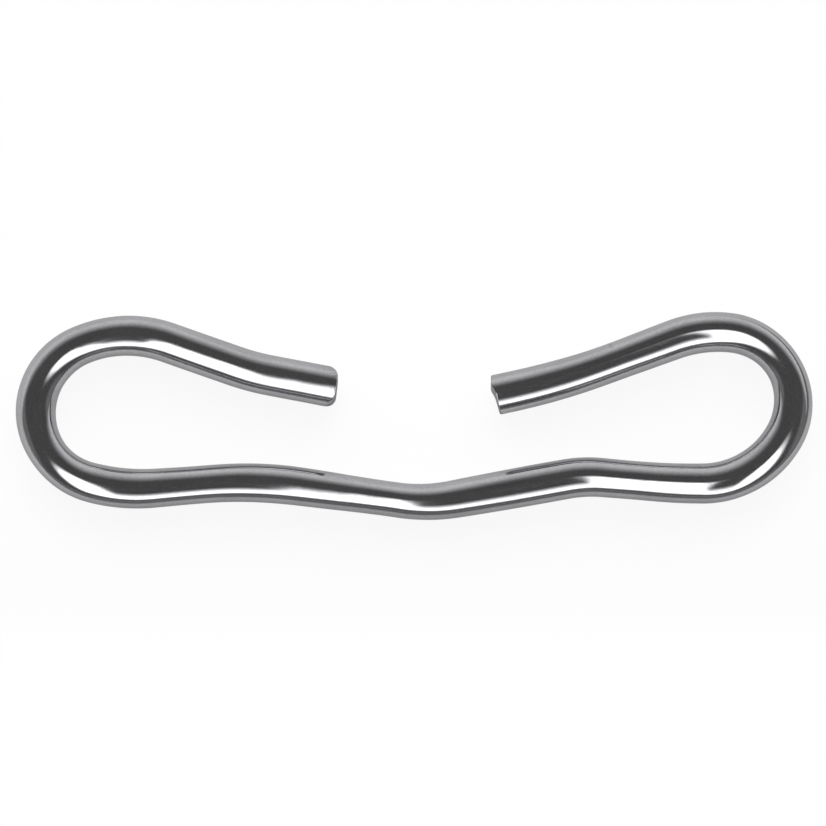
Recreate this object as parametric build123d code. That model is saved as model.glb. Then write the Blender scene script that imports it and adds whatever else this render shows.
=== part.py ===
"""Bucket hook: one steel rod bent in a single plane into two facing loops on a waved back."""

import os

from build123d import *

# Lengths are in millimetres and angles in degrees.
# The hook lies flat: X runs along it, Y from the back towards the arms and Z up from the floor.

# The rod, and the dip in the middle of the back that both sides leave from
rod_diameter = 8.0
dip_radius = 34.0

# The left side, from the dip outwards, round the loop and back along the arm to the tip
left_saddle_angle = 8.0  # rise of the back towards its crest
left_saddle_run = 19.3
left_crest_radius = 81.0
left_back_angle = 4.4  # fall of the back beyond its crest
left_back_run = 11.2
left_heel_radius = 36.7
left_heel_angle = 19.7
left_loop_radius = 14.4
left_shoulder_radius = 23.3
left_shoulder_angle = 43.0
left_arm_angle = 19.6  # fall of the arm towards the mouth
left_arm_run = 13.7
left_arm_bend_radius = 48.5
left_tip_angle = 10.9  # fall of the last stretch, where the arm flattens out
left_tip_run = 12.9
left_cut_lean = 4.0  # how far from square the cut's upper edge stands back
left_cut_round = 2.4

# The right side, in the same order
right_saddle_angle = 10.3
right_saddle_run = 22.2
right_crest_radius = 25.6
right_back_angle = 4.9
right_back_run = 8.9
right_level_radius = 121.0  # slow bend in which the back levels out before the heel
right_level_angle = 5.2
right_heel_radius = 18.4
right_heel_angle = 60.6
right_loop_radius = 13.8
right_shoulder_radius = 23.8
right_shoulder_angle = 27.1
right_arm_angle = 20.6
right_arm_run = 13.0
right_arm_bend_radius = 137.5
right_tip_angle = 12.3
right_tip_run = 3.5
right_cut_lean = -2.0  # here the cut's lower edge stands back
right_cut_chamfer = 0.5


def loop_angle(back_angle, arm_angle, *other_bends):
    """The tightest bend makes what the other bends leave of the turn from the back to the arm."""
    return 180 + back_angle + arm_angle - sum(other_bends)


left_loop_angle = loop_angle(left_back_angle, left_arm_angle, left_heel_angle, left_shoulder_angle)
right_loop_angle = loop_angle(
    right_back_angle, right_arm_angle, right_level_angle, right_heel_angle, right_shoulder_angle
)

left_steps = [
    (dip_radius, left_saddle_angle),
    left_saddle_run,
    (left_crest_radius, -left_saddle_angle - left_back_angle),
    left_back_run,
    (left_heel_radius, left_heel_angle),
    (left_loop_radius, left_loop_angle),
    (left_shoulder_radius, left_shoulder_angle),
    left_arm_run,
    (left_arm_bend_radius, left_tip_angle - left_arm_angle),
    left_tip_run,
]
right_steps = [
    (dip_radius, right_saddle_angle),
    right_saddle_run,
    (right_crest_radius, -right_saddle_angle - right_back_angle),
    right_back_run,
    (right_level_radius, right_level_angle),
    (right_heel_radius, right_heel_angle),
    (right_loop_radius, right_loop_angle),
    (right_shoulder_radius, right_shoulder_angle),
    right_arm_run,
    (right_arm_bend_radius, right_tip_angle - right_arm_angle),
    right_tip_run,
]

# Each end of the rod is bent a little long, and the waste beyond the tip is cut off
waste = rod_diameter / 2


def follow(steps):
    """Lay straight runs and tangent bends end to end along +X from the dip's lowest point.

    A step is a run's length, or a bend's radius and angle, where a positive angle turns left.
    """
    edges = []
    place = Vector(0, 0)
    heading = Vector(1, 0)
    for step in steps:
        if isinstance(step, tuple):
            edge = JernArc(place, heading, *step)
        else:
            edge = Line(place, place + heading * step)
        edges.append(edge)
        place = edge @ 1
        heading = edge % 1
    return edges


def cut_off(edges, lean):
    """A block over the waste, with its face on the leaning cut through the tip."""
    tip = edges[-1] @ 1
    facing = (edges[-1] % 1).rotate(Axis.Z, -lean)
    on_cut = (Align.CENTER, Align.CENTER, Align.MIN)
    return Plane(origin=tip, z_dir=facing) * Cylinder(rod_diameter, 2 * waste, align=on_cut)


def ends(rod):
    """The rod's two flat ends, the left one first."""
    return rod.faces().filter_by(GeomType.PLANE).sort_by(Axis.X)


left_bends = follow(left_steps + [waste])
right_bends = follow(right_steps + [waste])
path = Wire(mirror(left_bends, about=Plane.YZ).edges() + right_bends)
section = Plane(origin=path @ 0, z_dir=path % 0) * Circle(rod_diameter / 2)
hook = sweep(section, path=path)
print("volume", hook.volume, "section times length", section.area * path.length)

hook -= mirror(cut_off(left_bends[:-1], left_cut_lean), about=Plane.YZ)
hook -= cut_off(right_bends[:-1], right_cut_lean)
hook = fillet(ends(hook)[0].edges(), left_cut_round)
hook = chamfer(ends(hook)[-1].edges(), right_cut_chamfer)

# The middle of the hook's outline goes to the origin, and the rod lies on the floor
middle = hook.bounding_box().center()
hook = Pos(-middle.X, -middle.Y, rod_diameter / 2) * hook
print("size", hook.bounding_box().size, "solids", len(hook.solids()), "faces", len(hook.faces()))

os.makedirs("parts", exist_ok=True)
export_step(hook, "parts/hook_rod.step")
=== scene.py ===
# %% [markdown]
# # A bucket hook of bent steel rod
# The real hook is a single plated rod, bent cold in one plane: a waved back, a loop at each
# end, and two arms that come back over the middle and stop short of each other.
# We model it as it was made. A ring of points stands for the rod's section, and we push that
# ring along the straight runs and spin it round the bends, in the order of the bends.

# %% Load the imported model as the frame
import math

import bpy
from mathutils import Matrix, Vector


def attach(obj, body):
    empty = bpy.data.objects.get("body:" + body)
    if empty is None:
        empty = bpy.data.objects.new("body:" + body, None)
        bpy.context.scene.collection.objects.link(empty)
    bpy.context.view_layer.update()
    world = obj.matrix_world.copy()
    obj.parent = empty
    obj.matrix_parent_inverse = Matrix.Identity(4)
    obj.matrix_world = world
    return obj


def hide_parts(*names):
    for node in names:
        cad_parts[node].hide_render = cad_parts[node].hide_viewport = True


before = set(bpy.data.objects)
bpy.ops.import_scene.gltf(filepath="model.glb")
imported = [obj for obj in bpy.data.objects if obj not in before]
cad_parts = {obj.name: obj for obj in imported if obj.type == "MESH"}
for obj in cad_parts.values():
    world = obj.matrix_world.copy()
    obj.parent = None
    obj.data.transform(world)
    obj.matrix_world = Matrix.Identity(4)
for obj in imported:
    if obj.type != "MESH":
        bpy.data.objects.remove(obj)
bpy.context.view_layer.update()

MM = 0.001

# %% [markdown]
# ## The camera
# The hook lies on a white sheet and the picture is taken from nearly overhead. The highlights
# on the rod show that the view leans a little, so the camera stands on the near side and looks
# down at 80 degrees. A very long lens keeps the view of both loops the same, as in the picture.

# %% Stand the camera over the hook
VIEW_LEAN = math.radians(10)
VIEW_WIDTH = 161.2 * MM
LENS = 1000.0
AIM = Vector((-0.303, 0.769, 4.0)) * MM
CLIP_START = 10 * MM

camera_data = bpy.data.cameras.new("camera")
camera_data.lens = LENS
camera_data.clip_start = CLIP_START
camera = bpy.data.objects.new("camera", camera_data)
bpy.context.scene.collection.objects.link(camera)
distance = VIEW_WIDTH * LENS / camera_data.sensor_width
camera.location = AIM + distance * Vector((0, -math.sin(VIEW_LEAN), math.cos(VIEW_LEAN)))
camera.rotation_euler = (VIEW_LEAN, 0, 0)
bpy.context.scene.camera = camera
bpy.context.scene.view_settings.view_transform = "Standard"
print("camera", round(distance, 3), "m from the hook")

# %% [markdown]
# ## Sums in the shader nodes
# Patterns and lights are sums on numbers, and a sum is easier to read as Python than as a heap
# of Math nodes. So we wrap a socket in a small class: each operator adds the node it stands
# for. Every other kind of node comes from one method of the bench.

# %% Signals that do sums
class Signal:
    """What comes out of a socket. Operators on it add Math nodes."""

    def __init__(self, bench, socket):
        self.bench = bench
        self.socket = socket

    def __add__(self, other):
        return self.bench.sum("ADD", self, other)

    def __sub__(self, other):
        return self.bench.sum("SUBTRACT", self, other)

    def __rsub__(self, other):
        return self.bench.sum("SUBTRACT", other, self)

    def __mul__(self, other):
        return self.bench.sum("MULTIPLY", self, other)

    __radd__ = __add__
    __rmul__ = __mul__

    def ease(self, start, end):
        """Goes softly from 0 at start to 1 at end."""
        return self.bench.node(
            "ShaderNodeMapRange",
            {"interpolation_type": "SMOOTHSTEP"},
            {"Value": self, "From Min": start, "From Max": end},
        )

    def within(self, low, high, soft_low, soft_high):
        """1 between low and high and 0 outside, with edges that soft."""
        rise = self.ease(low - soft_low / 2, low + soft_low / 2)
        return rise * (1 - self.ease(high - soft_high / 2, high + soft_high / 2))


# %% A bench for the nodes
class Bench:
    """One node tree, cleared, and the one way to add a node to it."""

    def __init__(self, tree):
        self.tree = tree
        tree.nodes.clear()

    def node(self, kind, settings=(), sockets=(), out=0):
        """A new node, with its settings first and then the values or links of its sockets."""
        made = self.tree.nodes.new(kind)
        for name, value in dict(settings).items():
            setattr(made, name, value)
        for name, value in dict(sockets).items():
            if isinstance(value, Signal):
                self.tree.links.new(value.socket, made.inputs[name])
            else:
                made.inputs[name].default_value = value
        return Signal(self, made.outputs[out]) if made.outputs else made

    def sum(self, operation, *terms):
        """A Math node of that operation."""
        return self.node("ShaderNodeMath", {"operation": operation}, dict(enumerate(terms)))

    def parts(self, vector):
        """The three numbers of a vector."""
        split = self.node("ShaderNodeSeparateXYZ", {}, {0: vector})
        return [Signal(self, socket) for socket in split.socket.node.outputs]

    def blend(self, share, first, second):
        """From the first colour to the second one by the share."""
        return self.node(
            "ShaderNodeMix",
            {"data_type": "RGBA"},
            {"Factor": share, "A": first, "B": second},
            out="Result",
        )

    def ray(self, name):
        """1 where the light path is of that kind."""
        return self.node("ShaderNodeLightPath", out=name)


# %% [markdown]
# ## The studio
# Bright metal has hardly a colour of its own: it shows the room. Here that is a big round lamp
# behind and above the camera, the dark shape of the camera on its stand in front of the lamp,
# a dark ceiling, dim side walls and a pale wall at the far side. Lamps and cards could be set
# up for it, but the highlights tell angles and no distances. So we paint that room on the
# world, by the two angles at which one looks up from the hook, and it lights every view.

# %% Measure the room by two angles from straight up, in degrees
world = bpy.data.worlds.new("studio")
bpy.context.scene.world = world
world.use_nodes = True
world.cycles.sampling_method = "NONE"  # metal finds the lamp by its own reflections
room = Bench(world.node_tree)
look = room.node("ShaderNodeTexCoord", out="Generated")
to_right, to_far, to_top = room.parts(look)
across = room.sum("DEGREES", room.sum("ARCSINE", to_right))
over = room.sum("DEGREES", room.sum("ARCTAN2", to_far, to_top))
print("nodes that measure the room:", len(world.node_tree.nodes))

# %% Hang the lamp, and put the dark stand in front of it
LAMP = 4.0
LAMP_ACROSS = 5.0
LAMP_OVER = -37.8
LAMP_RADIUS = 35.2
LAMP_SOFT = 6.0
STAND = 0.13
STAND_SIDES = (-3.2, 16.0)
STAND_SOFT = (5.0, 6.0)
STAND_FOOT = (-70.0, -34.0)


def aimed(across_degrees, over_degrees):
    """The direction at those two angles from straight up."""
    sideways = math.radians(across_degrees)
    farther = math.radians(over_degrees)
    level = math.cos(sideways)
    return Vector((math.sin(sideways), level * math.sin(farther), level * math.cos(farther)))


nearness = room.node(
    "ShaderNodeVectorMath",
    {"operation": "DOT_PRODUCT"},
    {0: look, 1: aimed(LAMP_ACROSS, LAMP_OVER)},
    out="Value",
)
off_lamp = room.sum("DEGREES", room.sum("ARCCOSINE", nearness))
lamp = 1 - off_lamp.ease(LAMP_RADIUS - LAMP_SOFT, LAMP_RADIUS + LAMP_SOFT)
stand = across.within(*STAND_SIDES, *STAND_SOFT) * over.ease(*STAND_FOOT)
lit = LAMP + (STAND - LAMP) * stand
print("lamp", 2 * LAMP_RADIUS, "degrees wide")

# %% Paint the ceiling and the walls round it
CEILING = 0.135
FAR_WALL = 1.12
FAR_WALL_RISE = (29.0, 78.0)
NEAR_SIDE = 0.39
NEAR_SIDE_END = (-96.0, -74.0)
SIDES = 0.30
SIDES_RISE = (53.0, 68.0)

far_wall = over.ease(*FAR_WALL_RISE)
near_side = 1 - over.ease(*NEAR_SIDE_END)
sides = room.sum("ABSOLUTE", across).ease(*SIDES_RISE)
ambience = CEILING + far_wall * (FAR_WALL - CEILING) + near_side * (NEAR_SIDE - CEILING)
ambience = ambience + sides * (1 - far_wall) * (SIDES - CEILING)
painted = ambience + (lit - ambience) * lamp
print("from the ceiling to the far wall:", CEILING, "to", FAR_WALL)

# %% [markdown]
# ## The light on the sheet
# The painted room is there for the metal and for the eye. The sheet under the hook is lit by a
# plain dome instead, brighter from the far side, so that the hook's soft shadow falls towards
# us. The Light Path node tells which of the two a ray of light asks for.

# %% Add the dome
DOME = 7.0
DOME_REST = 0.12
WHITE = (1, 1, 1, 1)

from_far = room.sum("MAXIMUM", to_far, 0.0)
dome = DOME_REST + DOME * (from_far * from_far)
looked_at = room.sum("MAXIMUM", room.ray("Is Camera Ray"), room.ray("Is Glossy Ray"))
looked_at = room.sum("MAXIMUM", looked_at, room.ray("Is Transmission Ray"))
light = dome + (painted - dome) * looked_at
backdrop = room.node("ShaderNodeBackground", {}, {"Color": WHITE, "Strength": light})
room.node("ShaderNodeOutputWorld", {}, {"Surface": backdrop})
print("nodes in the room:", len(world.node_tree.nodes))

# %% [markdown]
# ## The floor
# A plain white sheet, large enough that no view sees its edge. It glows a little of itself, so
# that it stays white in the picture and pale in the metal, and it still takes the hook's soft
# shadow. Product photographers draw a dark line along bright metal with a grey card laid some
# way off; here there is no card but painted shade: the sheet is painted grey in front of the hook
# and beyond its right loop, which one sees in the metal only, so that the rod's near side and the
# outside of the right loop reflect a darker floor.
# The floor is staging and no part of the hook.

# %% Lay the floor
FLOOR_SIDE = 6.0

bpy.ops.object.select_all(action="DESELECT")
bpy.ops.mesh.primitive_plane_add(size=FLOOR_SIDE)
floor = bpy.context.object
floor.name = "floor"
print("floor", FLOOR_SIDE, "m wide")

# %% Make it a white sheet, with painted shade where only the metal sees it
SHEET_WHITE = (0.95, 0.95, 0.95, 1)
# painted shade for the metal: the sheet's grey, and where it lies in front of the hook and at the
# right
PAINTED_SHADE_GREY = (0.26, 0.26, 0.26, 1)
PAINTED_SHADE_IN_FRONT = (-48 * MM, -20 * MM)
PAINTED_SHADE_AT_RIGHT = (84 * MM, 104 * MM)
GLOW_SEEN = 0.92
GLOW_MIRRORED = 0.55

paper = bpy.data.materials.new("white_sheet")
paper.use_nodes = True
sheet = Bench(paper.node_tree)
sheet_x, sheet_y = sheet.parts(sheet.node("ShaderNodeTexCoord", out="Object"))[:2]
# painted shade: grey in front of the hook and beyond its right loop, seen in the metal only
in_front = 1 - sheet_y.ease(*PAINTED_SHADE_IN_FRONT)
painted_shade = sheet.sum("MAXIMUM", in_front, sheet_x.ease(*PAINTED_SHADE_AT_RIGHT))
shade = sheet.blend(painted_shade, SHEET_WHITE, PAINTED_SHADE_GREY)
matt = sheet.node("ShaderNodeBsdfDiffuse", {}, {"Color": shade})
glow = sheet.node("ShaderNodeEmission", {}, {"Color": WHITE, "Strength": 1.0})
mirrored = sheet.sum("MAXIMUM", sheet.ray("Is Glossy Ray"), sheet.ray("Is Transmission Ray"))
seen_glow = sheet.ray("Is Camera Ray") * (GLOW_SEEN + (1 - GLOW_SEEN) * painted_shade)
glowing = sheet.sum("MAXIMUM", seen_glow, mirrored * (1 - painted_shade) * GLOW_MIRRORED)
surface = sheet.node("ShaderNodeMixShader", {}, {0: glowing, 1: matt, 2: glow})
sheet.node("ShaderNodeOutputMaterial", {}, {"Surface": surface})
floor.data.materials.append(paper)
print("nodes in the sheet:", len(paper.node_tree.nodes))

# %% [markdown]
# ## The rod
# A bender's list says it all: how far to feed the rod, and how far to turn it round which
# radius. A curve with a bevel would be quicker, but a ring that we extrude and spin keeps each
# bend a true arc that meets the next run square, and gives us the rod's length at every ring.

# %% The bends, in order from the left tip to the right one
ROD_RADIUS = 3.96 * MM
LEFT_TIP = Vector((-15.155, 5.704, 4.0)) * MM
TIP_HEADING = 169.1

# A run's length or a bend's radius in millimetres, then the turn in degrees, to the left positive
BENDS = [
    ("left tip", 13.25, 0),
    ("left arm bend", 48.5, -8.7),
    ("left arm", 13.7, 0),
    ("left shoulder", 23.3, 43.0),
    ("left loop", 14.4, 141.3),
    ("left heel", 36.7, 19.7),
    ("left back", 11.2, 0),
    ("left crest", 81.0, -12.4),
    ("left saddle", 19.3, 0),
    ("dip", 34.0, 18.3),
    ("right saddle", 22.2, 0),
    ("right crest", 25.6, -15.2),
    ("right back", 8.9, 0),
    ("right level", 121.0, 5.2),
    ("right heel", 18.4, 60.6),
    ("right loop", 13.8, 112.6),
    ("right shoulder", 23.8, 27.1),
    ("right arm", 13.0, 0),
    ("right arm bend", 137.5, -8.3),
    ("right tip", 3.65, 0),
]
print(len(BENDS), "runs and bends")

# %% Start with a ring at the left tip
RING = 96

bpy.ops.object.select_all(action="DESELECT")
bpy.ops.mesh.primitive_circle_add(
    vertices=RING,
    radius=ROD_RADIUS,
    fill_type="NOTHING",
    location=LEFT_TIP,
    rotation=(math.pi / 2, 0, math.radians(TIP_HEADING) + math.pi / 2),
)
rod = bpy.context.object
rod.name = "bent_rod"
bpy.ops.object.transform_apply(location=True, rotation=True, scale=True)
print("ring of", len(rod.data.vertices), "points")

# %% [markdown]
# ## Feeding and bending
# The newest ring is the one that is selected, so Extrude pushes it on and Spin takes it round a
# bend. We note where each ring stands, where it heads and how much rod lies behind it, because
# later steps ask for that. The edges of both ends are rounded further on, so a guard ring stands
# close behind each of them and keeps the shading of the rod away from the rounding.

# %% The two moves, feed and bend
TURN = 1.5

places = [LEFT_TIP]
headings = [math.radians(TIP_HEADING)]
stations = [0.0]


def facing(angle):
    """The direction on the floor at that angle."""
    return Vector((math.cos(angle), math.sin(angle), 0))


def feed(length):
    """Push the newest ring straight on."""
    step = length * facing(headings[-1])
    bpy.ops.mesh.extrude_region_move(TRANSFORM_OT_translate={"value": step})
    places.append(places[-1] + step)
    headings.append(headings[-1])
    stations.append(stations[-1] + length)


def bend(radius, turn):
    """Spin the newest ring round a bend. The operator counts its angle clockwise."""
    steps = math.ceil(abs(turn) / TURN)
    inwards = math.copysign(math.pi / 2, turn)
    centre = places[-1] + radius * facing(headings[-1] + inwards)
    bpy.ops.mesh.spin(steps=steps, angle=-math.radians(turn), center=centre, axis=(0, 0, 1))
    step = math.radians(turn) / steps
    for _ in range(steps):
        headings.append(headings[-1] + step)
        places.append(centre - radius * facing(headings[-1] + inwards))
        stations.append(stations[-1] + radius * abs(step))


print("a ring at least every", TURN, "degrees of a bend")

# %% Run through the list
FEED = 1.0 * MM
LEFT_EDGE = 0.3 * MM
RIGHT_EDGE = 0.1 * MM
GUARD = 0.1 * MM


def pushes(length):
    """That length in even short steps."""
    count = math.ceil(length / FEED)
    return [length / count] * count


def run_steps(name, length):
    """The steps of a run, with a guard ring behind the edge of a tip."""
    if name == "left tip":
        return [LEFT_EDGE + GUARD] + pushes(length - (LEFT_EDGE + GUARD))
    if name == "right tip":
        return pushes(length - (RIGHT_EDGE + GUARD)) + [RIGHT_EDGE + GUARD]
    return pushes(length)


bpy.ops.object.mode_set(mode="EDIT")
bpy.ops.mesh.select_all(action="SELECT")
for name, size, turn in BENDS:
    if turn:
        bend(size * MM, turn)
    else:
        for step in run_steps(name, size * MM):
            feed(step)
bpy.ops.object.mode_set(mode="OBJECT")
rod_length = stations[-1]
print("rod length in mm:", round(rod_length / MM, 1), "rings:", len(stations))

# %% [markdown]
# ## Where each point lay on the straight rod
# Draw lines and rubbed streaks ran along the rod before it was bent. A UV map could follow it,
# but it needs a seam. So each point keeps, as an attribute, its place on the straight rod: the
# length along it, and the two measures across. Patterns that read it follow every bend.

# %% Keep the straight rod's places
straight = rod.data.attributes.new("straight", "FLOAT_VECTOR", "POINT")
for number, spot in enumerate(straight.data):
    ring, point = divmod(number, RING)
    angle = 2 * math.pi * point / RING
    spot.vector = (stations[ring], ROD_RADIUS * math.sin(angle), ROD_RADIUS * math.cos(angle))
print("points:", len(straight.data), "=", RING, "x", len(stations))

# %% [markdown]
# ## Where the bender squeezed it
# Bending round a former flattens a rod a little: seen from above it is thinner at the dip, on
# the crests and round the loops than on the arms. By hand one would scale rings with
# proportional editing. Here each such place has a length along the rod and a reach, both in
# millimetres, and a share of the width that is lost, and we draw each ring in by that share.

# %% Draw the rings in
SQUEEZES = [
    ("left shoulder", 49.5, 6.0, 0.025),
    ("left heel", 79.0, 6.0, 0.06),
    ("left crest", 108.0, 8.0, 0.05),
    ("saddle", 138.0, 25.0, 0.04),
    ("dip", 146.5, 11.0, 0.10),
    ("right back", 194.0, 8.0, 0.045),
    ("right loop", 242.5, 8.0, 0.10),
    ("right arm", 279.0, 9.0, 0.05),
]


def squeezed(station):
    """The share of its width that the rod has lost there; half the squeeze at its reach."""
    return sum(
        share * 0.5 ** (((station / MM - middle) / reach) ** 2)
        for name, middle, reach, share in SQUEEZES
    )


for ring, station in enumerate(stations):
    sideways = facing(headings[ring] + math.pi / 2)
    for point in rod.data.vertices[ring * RING:(ring + 1) * RING]:
        off_side = (point.co - places[ring]).dot(sideways)
        point.co -= sideways * off_side * squeezed(station)
print("most lost width:", round(max(squeezed(station) for station in stations), 3))

# %% [markdown]
# ## The ends
# A file or the plating tank leaves no sharp edge on a cut. A Bevel could round it, but it pushes
# some points out past the rod. So each end ring steps back from the tip, grows forward again
# along a quarter circle in a few smaller rings, and the last one is filled with a grid of faces.
# The new points have no place on the straight rod yet, and the end rings have moved, so the
# points next to a tip get theirs from where they lie.

# %% Round the edges of the ends and fill them
EDGE_STEPS = 4


def pick(numbers):
    """Select these points and the edges between them, in edit mode."""
    bpy.ops.object.mode_set(mode="EDIT")
    bpy.ops.mesh.select_mode(type="VERT")
    bpy.ops.mesh.select_all(action="DESELECT")
    bpy.ops.object.mode_set(mode="OBJECT")
    for number in numbers:
        rod.data.vertices[number].select = True
    bpy.ops.object.mode_set(mode="EDIT")
    bpy.ops.mesh.select_mode(type="EDGE")


def close_end(numbers, tip, outwards, edge):
    """Round the edge of the end ring with that radius, and fill the end."""
    pick(numbers)
    bpy.ops.transform.translate(value=-edge * outwards)
    radius, forward = ROD_RADIUS, 0.0
    for count in range(1, EDGE_STEPS + 1):
        turned = math.pi / 2 * count / EDGE_STEPS
        step = edge * math.sin(turned) - forward
        bpy.ops.mesh.extrude_region_move(TRANSFORM_OT_translate={"value": step * outwards})
        forward += step
        smaller = ROD_RADIUS - edge * (1 - math.cos(turned))
        shrink = smaller / radius
        bpy.ops.transform.resize(
            value=(shrink, shrink, shrink),
            center_override=tip - (edge - forward) * outwards,
        )
        radius = smaller
    bpy.ops.mesh.fill_grid(span=RING // 4, offset=RING // 8)
    bpy.ops.object.mode_set(mode="OBJECT")


last_ring = (len(stations) - 1) * RING
close_end(range(last_ring, last_ring + RING), places[-1], facing(headings[-1]), RIGHT_EDGE)
close_end(range(RING), places[0], -facing(headings[0]), LEFT_EDGE)
print("faces:", len(rod.data.polygons))

# %% Give the points next to the tips their places on the straight rod
placed = 0
for point, spot in zip(rod.data.vertices, rod.data.attributes["straight"].data):
    for ring, edge in ((0, LEFT_EDGE), (-1, RIGHT_EDGE)):
        offset = point.co - places[ring]
        ahead = offset.dot(facing(headings[ring]))
        if offset.length < 2 * ROD_RADIUS and abs(ahead) < edge + GUARD / 2:
            off_side = offset.dot(facing(headings[ring] + math.pi / 2))
            spot.vector = (stations[ring] + ahead, -off_side, offset.z)
            placed += 1
print("points next to the tips:", placed)

# %% [markdown]
# ## The shape of the cuts
# Seen from above the left end is ground round at both corners, and its cut leans back at the far
# side. The right end was cropped: it leans the other way, and the shear left a small tongue on
# the far half. Bisect would give flat cuts only. So the points near the ends slide along the rod
# to that shape, less and less with the distance from the tip, and the rod's own surface stays
# as it is.

# %% How far each cut stands back across the rod
LEFT_LEAN = math.tan(math.radians(4.0))
LEFT_CORNER = 2.5 * MM
RIGHT_LEAN = math.tan(math.radians(2.0))
RIGHT_CORNER = 0.6 * MM
TONGUE = 0.45 * MM
TONGUE_PLACE = -1.7 * MM
TONGUE_REACH = 0.95 * MM


def corner(off_side, rounding):
    """How far a corner of that radius stands back, so far from the rod's middle."""
    past = max(abs(off_side) - (ROD_RADIUS - rounding), 0)
    return rounding - math.sqrt(max(rounding ** 2 - past ** 2, 0))


def left_cut(off_side):
    """The ground end: two round corners and the lean."""
    return corner(off_side, LEFT_CORNER) - LEFT_LEAN * off_side


def right_cut(off_side):
    """The cropped end: small corners, the lean, and the tongue that stands out."""
    tongue = TONGUE * 0.5 ** (((off_side - TONGUE_PLACE) / TONGUE_REACH) ** 2)
    return corner(off_side, RIGHT_CORNER) + RIGHT_LEAN * off_side - tongue


print("left corner stands back", round(left_cut(-ROD_RADIUS) / MM, 2), "mm")

# %% Slide the points near the tips to the cuts
SLIDE_REACH = 3.6 * MM

for point, spot in zip(rod.data.vertices, rod.data.attributes["straight"].data):
    station, to_right_side = spot.vector[:2]
    near_left = max(1 - station / SLIDE_REACH, 0)
    near_right = max(1 - (rod_length - station) / SLIDE_REACH, 0)
    point.co += facing(headings[0]) * near_left * left_cut(-to_right_side)
    point.co -= facing(headings[-1]) * near_right * right_cut(-to_right_side)
print("slid within", SLIDE_REACH / MM, "mm of the tips")

# %% Turn the normals outwards and shade the rod smooth
SMOOTH_BELOW = 40

bpy.ops.object.mode_set(mode="EDIT")
bpy.ops.mesh.select_all(action="SELECT")
bpy.ops.mesh.normals_make_consistent(inside=False)
bpy.ops.object.mode_set(mode="OBJECT")
bpy.ops.object.shade_smooth_by_angle(angle=math.radians(SMOOTH_BELOW))
print("smooth where faces meet at less than", SMOOTH_BELOW, "degrees")

# %% [markdown]
# ## Not quite even
# Drawn and plated rod is never a perfect cylinder. One could sculpt that, but a cloudy Displace
# of a few hundredths of a millimetre is even all over and makes the edges of the highlights
# waver, as they do on the real hook.

# %% Waver the surface
WAVER = 0.05 * MM
WAVER_SIZE = 9.0 * MM

waver = bpy.data.textures.new("waver", "CLOUDS")
waver.noise_scale = WAVER_SIZE
bpy.ops.object.select_all(action="DESELECT")
rod.select_set(True)
bpy.context.view_layer.objects.active = rod
bpy.ops.object.modifier_add(type="DISPLACE")
displace = rod.modifiers[-1]
displace.texture = waver
displace.texture_coords = "LOCAL"
displace.strength = WAVER
bpy.ops.object.modifier_apply(modifier=displace.name)
print("wavered points:", len(rod.data.vertices))

# %% [markdown]
# ## Plated steel
# Bright plating over drawn steel rod: nearly a mirror, with streaks along the rod from drawing
# and polishing, a fine grain, a cloudy change in gloss from handling and a few rubbed places.
# Painted pictures would do, but noises that are stretched along the straight rod stay sharp at
# any size. The cut ends are duller and darker, because the plating takes badly on a rough cut,
# the left tip is rubbed by handling, and the right arm has a small scar on its far side.

# %% Lay the patterns along the straight rod
SCUFF_SPOTS = (0.56, 0.72)

plated = bpy.data.materials.new("plated_steel")
plated.use_nodes = True
plating = Bench(plated.node_tree)
laid_out = plating.node("ShaderNodeAttribute", {"attribute_name": "straight"}, out="Vector")


def pattern(lengthwise, around, detail):
    """A noise on the straight rod, with so many changes to the metre along it and round it."""
    stretched = plating.node(
        "ShaderNodeVectorMath",
        {"operation": "MULTIPLY"},
        {0: laid_out, 1: (lengthwise, around, around)},
    )
    return plating.node(
        "ShaderNodeTexNoise",
        {},
        {"Vector": stretched, "Scale": 1.0, "Detail": detail},
    )


draw_lines = pattern(lengthwise=30, around=5000, detail=2)
streaks = pattern(lengthwise=22, around=1500, detail=3)
grain = pattern(lengthwise=1500, around=3200, detail=2)
clouds = pattern(lengthwise=130, around=260, detail=3)
scuffs = pattern(lengthwise=70, around=900, detail=2).ease(*SCUFF_SPOTS)
print("nodes for the patterns:", len(plated.node_tree.nodes))

# %% Mark the cuts, the handled tip and the scar
CUT_DEPTH = 0.12 * MM
HANDLED_REACH = 2.6 * MM
HANDLED_SPOTS = (0.35, 0.6)
SCAR_PLACE = (277.4 * MM, 278.0 * MM)
SCAR_SOFT = 0.4 * MM
SCAR_FAR_SIDE = (2.0 * MM, 2.8 * MM)
SCAR_HEIGHT = (0.6 * MM, 1.8 * MM)
SCAR_SPOTS = (0.2, 0.5)

along, across_rod, up_rod = plating.parts(laid_out)
left_face = 1 - along.ease(0, CUT_DEPTH)
right_face = along.ease(rod_length - CUT_DEPTH, rod_length)
cut_face = plating.sum("MAXIMUM", left_face, right_face)
handled = (1 - along.ease(CUT_DEPTH, HANDLED_REACH)) * grain.ease(*HANDLED_SPOTS)
scar = along.within(*SCAR_PLACE, SCAR_SOFT, SCAR_SOFT) * grain.ease(*SCAR_SPOTS)
scar = scar * across_rod.ease(*SCAR_FAR_SIDE) * up_rod.ease(*SCAR_HEIGHT)
print("scar", round((rod_length - SCAR_PLACE[1]) / MM, 1), "mm from the right tip")

# %% Mix the gloss
POLISH = 0.03
LINES_DULL = 0.04
CLOUDS_DULL = 0.05
GRAIN_DULL = 0.02
SCUFFS_DULL = 0.05
CUT_DULL = 0.3
HANDLED_DULL = 0.08

roughness = POLISH + draw_lines * LINES_DULL + clouds * CLOUDS_DULL + grain * GRAIN_DULL
roughness = roughness + scuffs * SCUFFS_DULL + cut_face * CUT_DULL + handled * HANDLED_DULL
print("roughness from", POLISH, "up")

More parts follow.
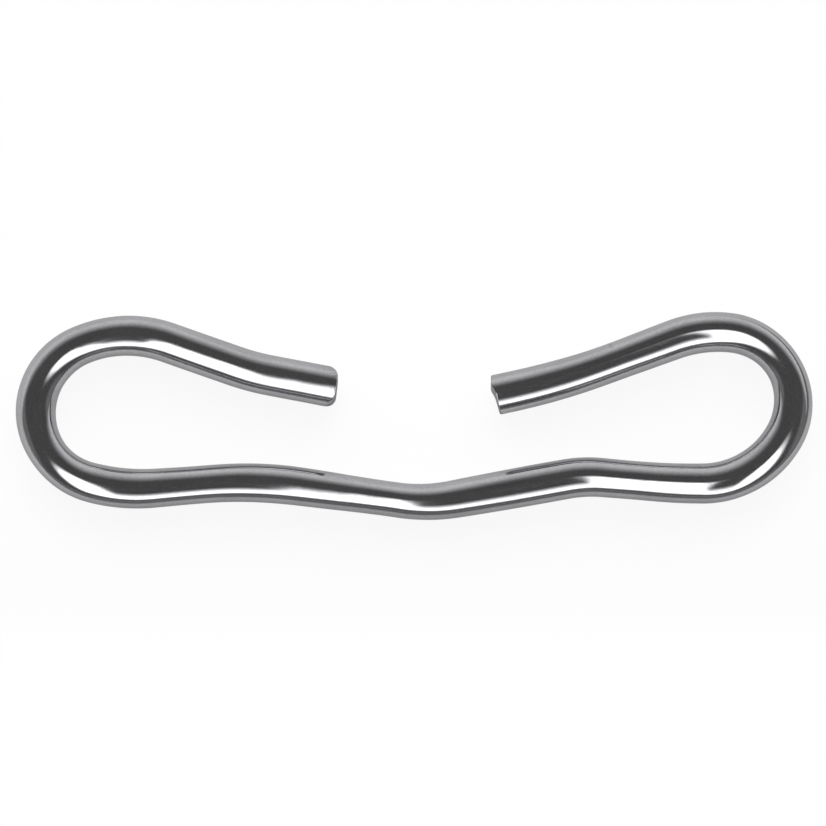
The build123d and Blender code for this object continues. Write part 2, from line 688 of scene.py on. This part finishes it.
# %% Mix the colour
STEEL = (0.42, 0.419, 0.431, 1)
DULLED = (0.31, 0.309, 0.322, 1)
CUT_STEEL = (0.2, 0.2, 0.205, 1)
GRAIN_SPOTS = (0.3, 0.75)
GRAIN_DARK = 0.45
CLOUD_SPOTS = (0.35, 0.7)
CLOUDS_DARK = 0.25
SCUFFS_DARK = 0.35
HANDLED_DARK = 0.6
SCAR_DARK = 0.7

worn = grain.ease(*GRAIN_SPOTS) * GRAIN_DARK + clouds.ease(*CLOUD_SPOTS) * CLOUDS_DARK
worn = worn + scuffs * SCUFFS_DARK + handled * HANDLED_DARK + scar * SCAR_DARK
tone = plating.blend(cut_face, plating.blend(worn, STEEL, DULLED), CUT_STEEL)
print("steel from", STEEL[:3], "to", DULLED[:3])

# %% [markdown]
# ## Not quite flat
# The highlights on the real hook sit as if it were bowed by some three degrees, with its loops a
# little higher than its middle, as bent rod springs back, and as if its arms and its back leaned
# towards each other a little. The solid lies flat and the piece has to stay in its box, so only
# the shading leans: a broad bump rises towards both ends, levels out in the loops, and rises
# from the middle line to both sides. The draw lines and streaks, a few thousandths of a
# millimetre high, are added to it, so one Bump node does both.

# %% Lean the normals
BOW = 0.48
CUP = 1.3
BOW_END = 58 * MM
LEVEL = 2.0
LINES_HIGH = 0.0010 * MM
STREAKS_HIGH = 0.0036 * MM
GRAIN_HIGH = 0.0008 * MM

place_x, place_y = plating.parts(plating.node("ShaderNodeTexCoord", out="Object"))[:2]
past = plating.sum("MAXIMUM", plating.sum("ABSOLUTE", place_x) - BOW_END, 0.0)
lift = place_x * place_x * BOW - past * past * LEVEL + place_y * place_y * CUP
relief = draw_lines * LINES_HIGH + streaks * STREAKS_HIGH + grain * GRAIN_HIGH
bump = plating.node(
    "ShaderNodeBump",
    {},
    {"Strength": 1.0, "Distance": 1.0, "Height": lift + relief},
)
print("bowed by", round(math.degrees(math.atan(2 * BOW * BOW_END)), 1), "degrees at the loops")

# %% Put the steel together
EDGE_TINT = (0.7, 0.7, 0.7, 1)

metal = plating.node("ShaderNodeBsdfPrincipled", {}, {
    "Base Color": tone,
    "Metallic": 1.0,
    "Specular Tint": EDGE_TINT,
    "Roughness": roughness,
    "Normal": bump,
})
plating.node("ShaderNodeOutputMaterial", {}, {"Surface": metal})
rod.data.materials.append(plated)
print("plated steel:", len(plated.node_tree.nodes), "nodes")

# %% [markdown]
# ## Hand the piece to the frame
# The rod rides on the hook's only body, stands for the solid, and takes its finish.

# %% Finish
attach(rod, "root")
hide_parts("hook_rod")
